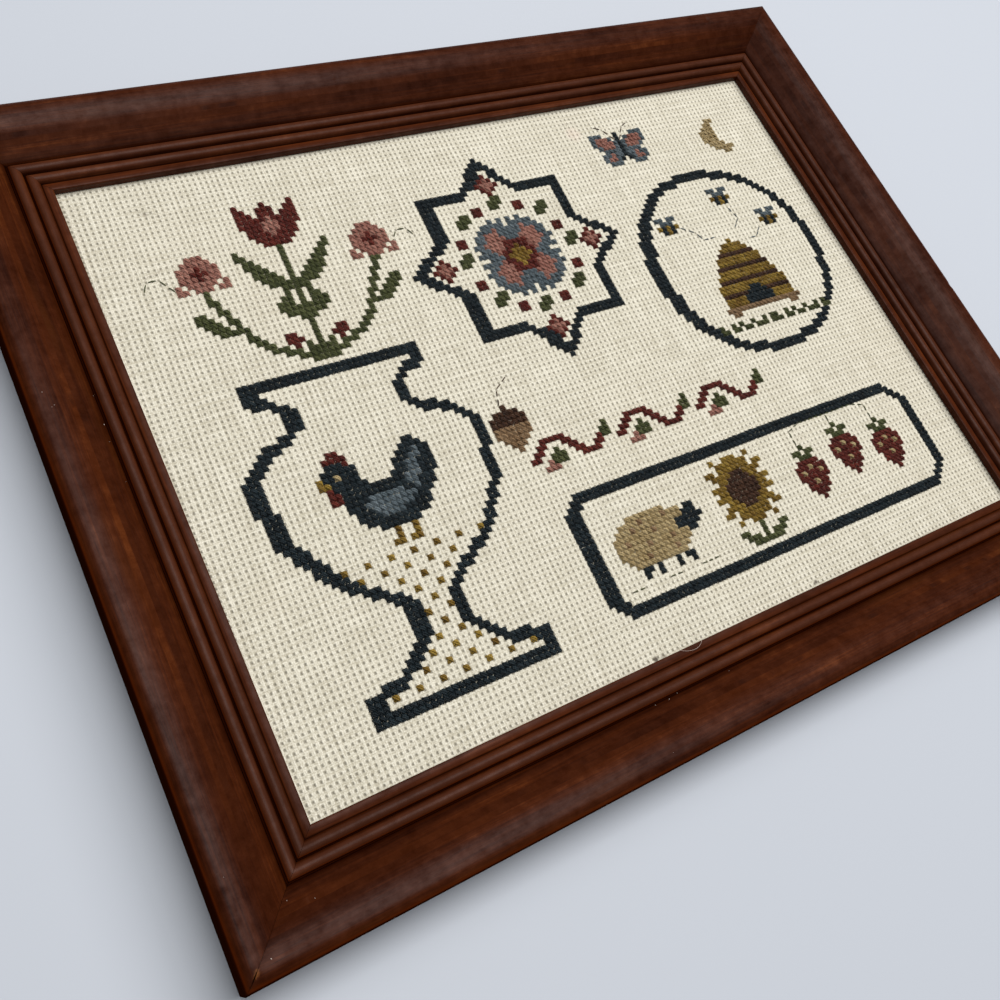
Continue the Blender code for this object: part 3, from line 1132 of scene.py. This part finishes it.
def cotton(name, dark, light, gloss=0.55):
    """Mercerised stranded cotton: a soft gloss, the twist of its plies as slanting lines, and painted shade
    in the twist's grooves and down one side of each strand.
    """
    finish = Finish(name, gloss, Specular_IOR_Level=0.34)
    chart = finish.chart()
    along = finish.part(chart, "X")
    across = finish.part(chart, "Y")
    place = finish.place()
    twist = ((along * 2.1 + across * 1.1) * (2 * math.pi)).sine() * 0.5 + 0.5
    fluff = finish.speckle(place, 1500, 2)
    fade = finish.speckle(place, 170, 2)
    shade = finish.attribute("tone") * 0.62 + fluff * 0.6 + (fade - 0.5) * 0.8 - 0.10
    body = finish.mix(shade, dark, light)
    # painted shade: darker in the twist's grooves and towards one side of the strand
    edge = ((across - 0.5).size() * 2).rise(0.45, 1.0)
    body = finish.mix((1 - twist) * 0.40 + edge * 0.30, body, [part * 0.30 for part in dark])
    finish.colour(body)
    finish.bump(twist + fluff * 0.6, 0.09 * MM, 1.0)
    return finish


# Shade of each skein: its dark and its light, as linear colour
SHADES = {
    "navy": ((0.0036, 0.0078, 0.0105), (0.0250, 0.0400, 0.0480)),
    "red": ((0.085, 0.0110, 0.0070), (0.210, 0.0330, 0.0190)),
    "coral": ((0.330, 0.130, 0.095), (0.560, 0.280, 0.210)),
    "gold": ((0.155, 0.078, 0.008), (0.470, 0.310, 0.052)),
    "straw": ((0.420, 0.300, 0.130), (0.640, 0.500, 0.270)),
    "green": ((0.050, 0.060, 0.017), (0.140, 0.150, 0.055)),
    "slate": ((0.085, 0.115, 0.130), (0.210, 0.250, 0.270)),
    "brown": ((0.035, 0.0130, 0.0060), (0.110, 0.0480, 0.0230)),
    "tan": ((0.230, 0.130, 0.060), (0.400, 0.260, 0.140)),
}

# Fine lines in single strand: skein, then the holes it goes through
FINE_LINES = (
    ("brown", (107, 97), (105, 100), (103, 101)), ("brown", (108, 97), (110, 100), (112, 101)),
    ("slate", (110, 74), (113, 72), (114, 70), (117, 70)), ("slate", (124, 76), (125, 73), (123, 71)),
    ("slate", (129, 70), (127, 68), (125, 68)),
    ("green", (108, 24), (108, 27), (111, 28)), ("green", (118, 26), (118, 28), (115, 28), (111, 28)),
    ("green", (128, 24), (128, 27), (125, 28), (118, 28)),
    ("green", (11, 84), (9, 87), (7, 87), (6, 85)), ("green", (50, 84), (52, 87), (54, 87), (55, 85)),
    ("green", (62, 11), (65, 11)), ("green", (70, 11), (73, 11)), ("green", (77, 11), (81, 11)),
    ("brown", (55, 49), (56, 52), (59, 54)),
)


def block_middle(column, row):
    """Middle of a block of the design, on the cloth."""
    return weave_point(column + HIDDEN + 0.5, row + HIDDEN + 0.5)


def cross_placings(cells, draw):
    """Where and how each cross of a skein lies."""
    placings = []
    for cell in cells:
        size = draw.uniform(0.97, 1.05)
        turn = draw.uniform(-0.05, 0.05)
        stretch = (size, size, draw.uniform(0.9, 1.1))
        placings.append((block_middle(*cell), turn, stretch, draw.randrange(CROSS_KINDS), draw.uniform(0, 1)))
    return placings


def line_placings(holes, draw):
    """Where and how each stitch of one fine line lies, between the holes that it goes through."""
    placings = []
    for first, second in zip(holes, holes[1:]):
        first, second = Vector(first), Vector(second)
        steps = max(round((second - first).length / LINE_STITCH), 1)
        for i in range(steps):
            start = weave_point(*(first.lerp(second, i / steps) + Vector((HIDDEN, HIDDEN))))
            end = weave_point(*(first.lerp(second, (i + 1) / steps) + Vector((HIDDEN, HIDDEN))))
            run = end - start
            stretch = (run.length / BLOCK.x, 1, 1)
            placings.append((start.lerp(end, 0.5), math.atan2(run.y, run.x), stretch,
                             draw.randrange(LINE_KINDS), draw.uniform(0, 1)))
    return placings


def build_stitches(worked):
    """Every cross and fine line, with one piece or two for each skein's crosses."""
    draw = random.Random(5)
    crosses = stitch_kinds("cross", cross_stitch, CROSS_KINDS, 21)
    lines = stitch_kinds("line", back_stitch, LINE_KINDS, 22)
    finishes = {skein: cotton(f"cotton_{skein}", *SHADES[skein]) for skein in SHADES}
    pieces = []
    for skein, finish in finishes.items():
        cells = sorted(cell for cell, colour in worked.items() if colour == skein)
        placings = cross_placings(cells, draw)
        count = math.ceil(len(placings) / PIECE_CROSSES)
        for part in range(count):
            name = f"stitches_{skein}" + (f"_{part + 1}" if count > 1 else "")
            pieces.append(work_stitches(name, finish, crosses, placings[part::count]))
    for skein in sorted({line[0] for line in FINE_LINES}):
        placings = []
        for line in FINE_LINES:
            if line[0] == skein:
                placings += line_placings(line[1:], draw)
        name = f"fine_lines_{skein}"
        pieces.append(work_stitches(name, finishes[skein], lines, placings))
    for mesh in crosses + lines:
        bpy.data.meshes.remove(mesh)
    return pieces


# ---------------------------------------------------------------- stage

TABLE_HALF = 3                                       # from the table's middle to its edge
CAMERA_PLACE = (-0.18014, -0.10923, 0.26951)
CAMERA_TURN = (25.164, -16.992, -26.653)             # degrees about X, Y and Z


def lamp(name, size, power, place, aim, shows_in_gloss=True):
    """A square lamp at a place, turned to face a point."""
    light = bpy.data.lights.new(name, "AREA")
    light.shape = "SQUARE"
    light.size = size
    light.energy = power
    stand = bpy.data.objects.new(name, light)
    bpy.context.scene.collection.objects.link(stand)
    stand.location = place
    stand.rotation_euler = (Vector(aim) - Vector(place)).to_track_quat("-Z", "Y").to_euler()
    stand.visible_glossy = shows_in_gloss


def build_stage():
    """The table, the room's light, two lamps and the camera."""
    finish = Finish("table_top", 0.55, Specular_IOR_Level=0.25)
    finish.colour((0.470, 0.492, 0.534))
    shape = bmesh.new()
    bmesh.ops.create_grid(shape, x_segments=1, y_segments=1, size=TABLE_HALF)
    bmesh.ops.translate(shape, vec=(0, 0, cad_box[0][2]), verts=shape.verts)
    table = piece_from(shape, "table_top", finish, smooth=False)
    scene = bpy.context.scene
    scene.view_settings.view_transform = "Standard"
    scene.world = bpy.data.worlds.new("room")
    scene.world.use_nodes = True
    room = scene.world.node_tree.nodes["Background"]
    room.inputs["Color"].default_value = (0.92, 0.96, 1.0, 1)
    room.inputs["Strength"].default_value = 0.22
    lamp("ceiling_light", 0.95, 14.2, (0.14, 0.17, 1.25), (0.14, 0.17, 0))
    lamp("side_light", 1.5, 62, (2.0, 0.9, 2.1), (0, 0, 0), shows_in_gloss=False)
    view = bpy.data.cameras.new("camera")
    view.lens = 36.93
    view.sensor_width = 36
    view.shift_x = 0.0190
    view.shift_y = -0.0137
    view.clip_start = 0.01
    camera = bpy.data.objects.new("camera", view)
    scene.collection.objects.link(camera)
    camera.location = CAMERA_PLACE
    camera.rotation_euler = Euler([math.radians(turn) for turn in CAMERA_TURN])
    scene.camera = camera


build_stage()
wood = stained_wood()
for number, name in enumerate(RAILS):
    build_rail(name, wood, number)
dust_finish = lint()
build_dust(dust_finish)
build_fibres("stray_fibres", FIBRES, dust_finish)
build_fibres("dark_hair", HAIRS, hair())
design = draw_design()
noise.seed_set(DRIFT_SEED)
cloth, cut_size = build_cloth(evenweave(), design)
stitches = build_stitches(design)
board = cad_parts["board"]
board.material_slots[0].material = card().material
